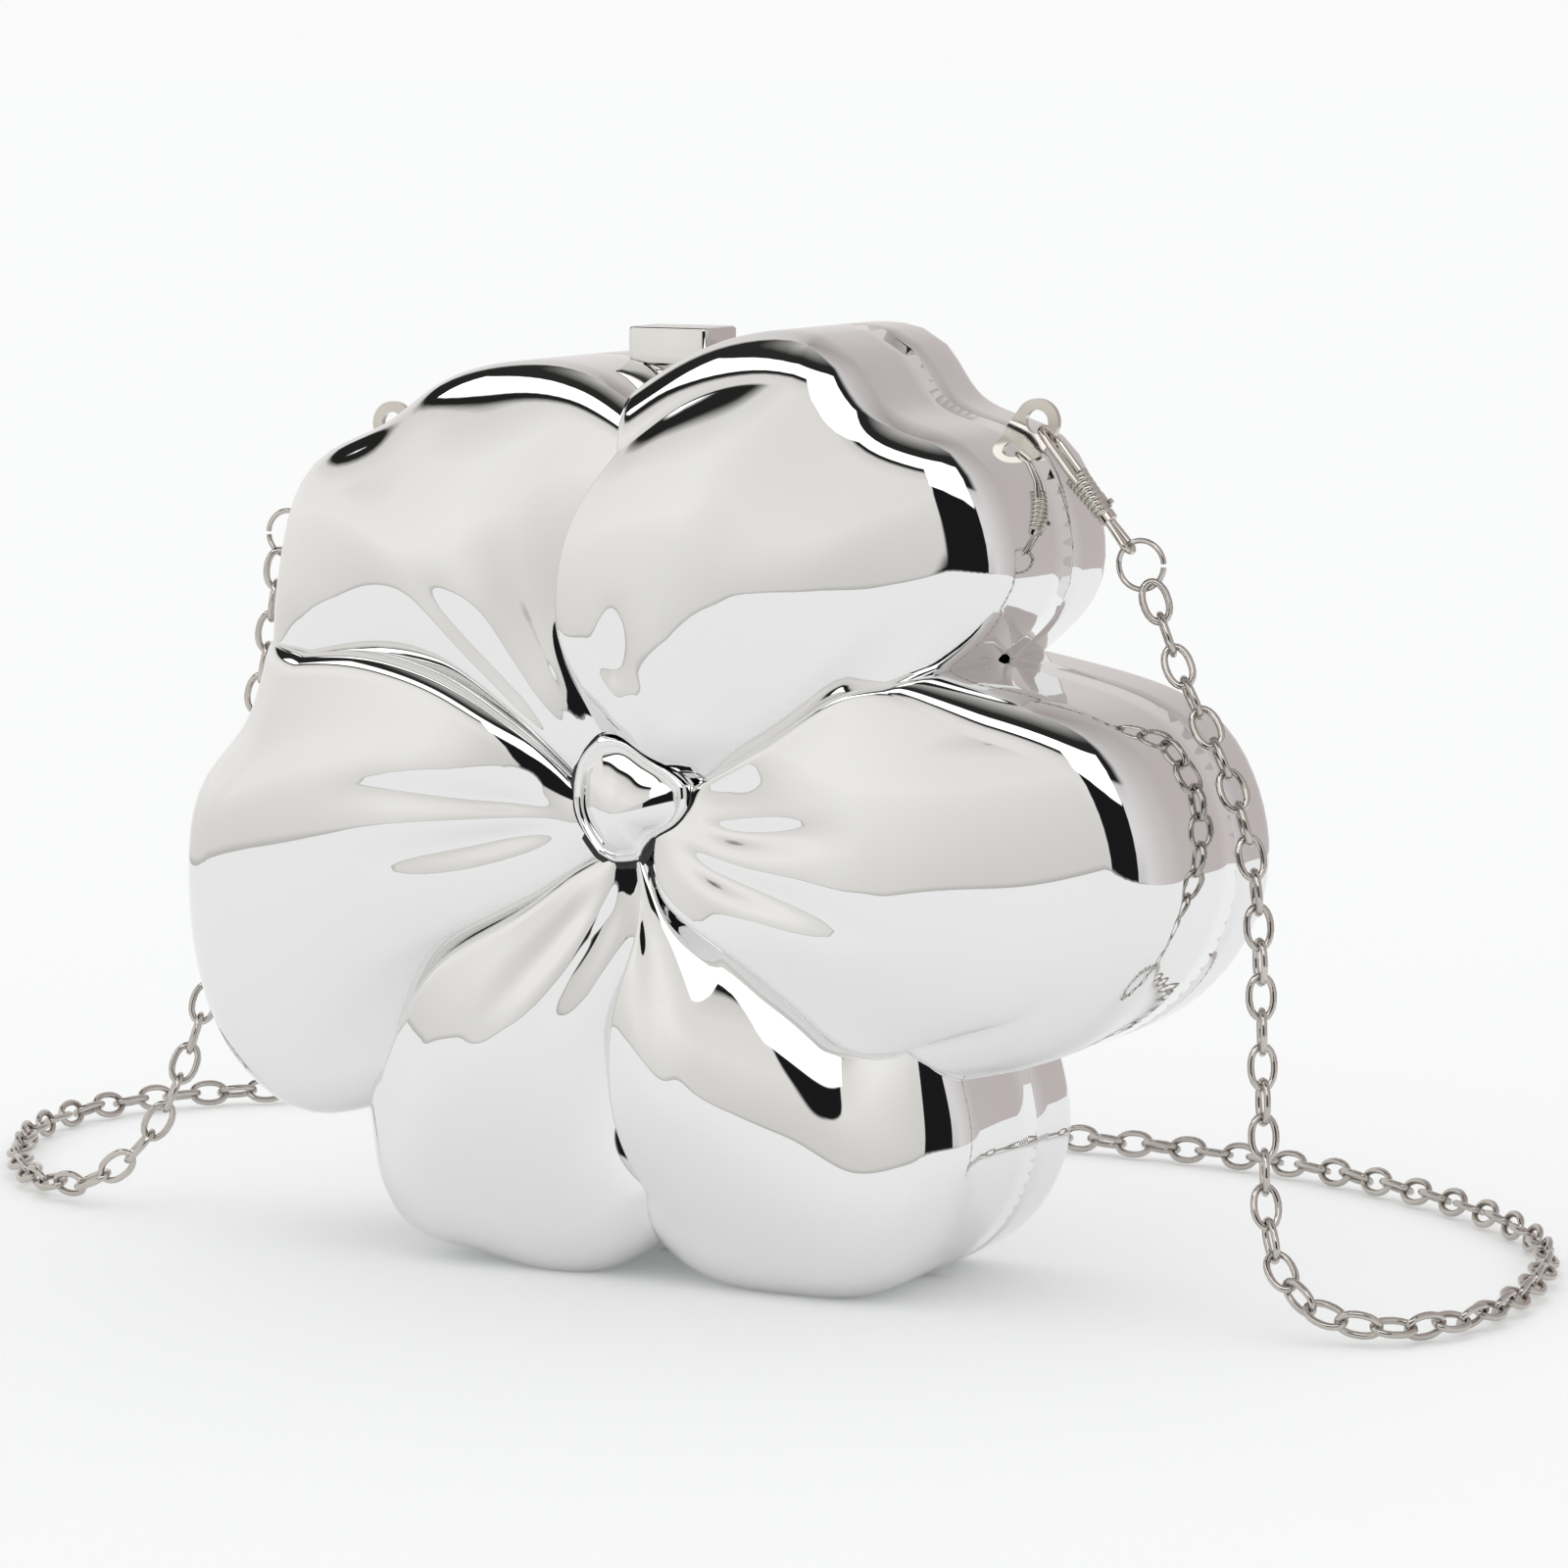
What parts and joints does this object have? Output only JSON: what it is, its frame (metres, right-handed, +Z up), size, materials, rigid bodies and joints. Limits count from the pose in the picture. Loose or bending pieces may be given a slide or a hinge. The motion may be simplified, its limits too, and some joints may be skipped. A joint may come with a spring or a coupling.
{
  "type": "flower-shaped hard clutch bag",
  "caption": "Mirror-plated hard clutch bag shaped like a flower, opening on bottom hinges, with a top lock and a chain strap on snap hooks.",
  "frame": {"origin": "under the middle of the bag, on the surface it stands on", "axes": "+Z up, front face towards -Y, +X to the right of someone facing the front"},
  "size_m": [0.307, 0.1501, 0.1578],
  "materials": {
    "shell": "mirror electroplated ABS",
    "hardware": "polished nickel",
    "chain": "polished nickel wire",
    "liner": "black flocked suede",
    "lip": "moulded grey ABS",
    "lock": "polished nickel plate",
    "steel": "plain steel"
  },
  "bodies": {
    "back_half": {"back_shell": "shell", "alignment_lip": "lip", "back_liner": "liner", "hinge_leaf_back_left": "hardware", "hinge_pin_left": "steel", "strap_lug_left": "hardware", "lug_screw_left": "steel", "clasp_body_left": "chain", "gate_rivet_left": "steel", "gate_spring_left": "steel", "jump_ring_left": "chain", "hinge_leaf_back_right": "hardware", "hinge_pin_right": "steel", "strap_lug_right": "hardware", "lug_screw_right": "steel", "clasp_body_right": "chain", "gate_rivet_right": "steel", "gate_spring_right": "steel", "jump_ring_right": "chain", "hinge_rivets_back": "steel", "lock_pin": "steel", "lock_spring": "steel", "lock_base_screws": "steel", "lock_base": "hardware", "strap_chain": "chain"},
    "front_half": {"front_shell": "shell", "front_liner": "liner", "hinge_leaf_front_left": "hardware", "hinge_leaf_front_right": "hardware", "hinge_rivets_front": "steel", "strike_plate": "hardware", "strike_screws": "steel"},
    "lock_lever": {"lock_lever": "lock"},
    "gate_left": {"clasp_gate_left": "chain"},
    "gate_right": {"clasp_gate_right": "chain"}
  },
  "joints": [
    {"name": "front_half_hinge", "type": "hinge", "parent": "back_half", "child": "front_half", "pos_m": [0, 0.006, 0.0017], "axis": [1, 0, 0], "range_deg": [0, 60]},
    {"name": "lock_lever_pivot", "type": "hinge", "parent": "back_half", "child": "lock_lever", "pos_m": [-0.0094, 0.0093, 0.1526], "axis": [-1, 0, 0], "range_deg": [0, 30], "stiffness_Nm_per_rad": 0.02, "springref_deg": -17.19},
    {"name": "gate_left_pivot", "type": "hinge", "parent": "back_half", "child": "gate_left", "pos_m": [-0.07859, 0.0076, 0.12695], "axis": [0.6773, 0, -0.7357], "range_deg": [0, 8], "stiffness_Nm_per_rad": 0.005, "springref_deg": -11.46},
    {"name": "gate_right_pivot", "type": "hinge", "parent": "back_half", "child": "gate_right", "pos_m": [0.06694, 0.0076, 0.12891], "axis": [0.7755, 0, 0.6314], "range_deg": [0, 8], "stiffness_Nm_per_rad": 0.005, "springref_deg": -11.46}
  ]
}
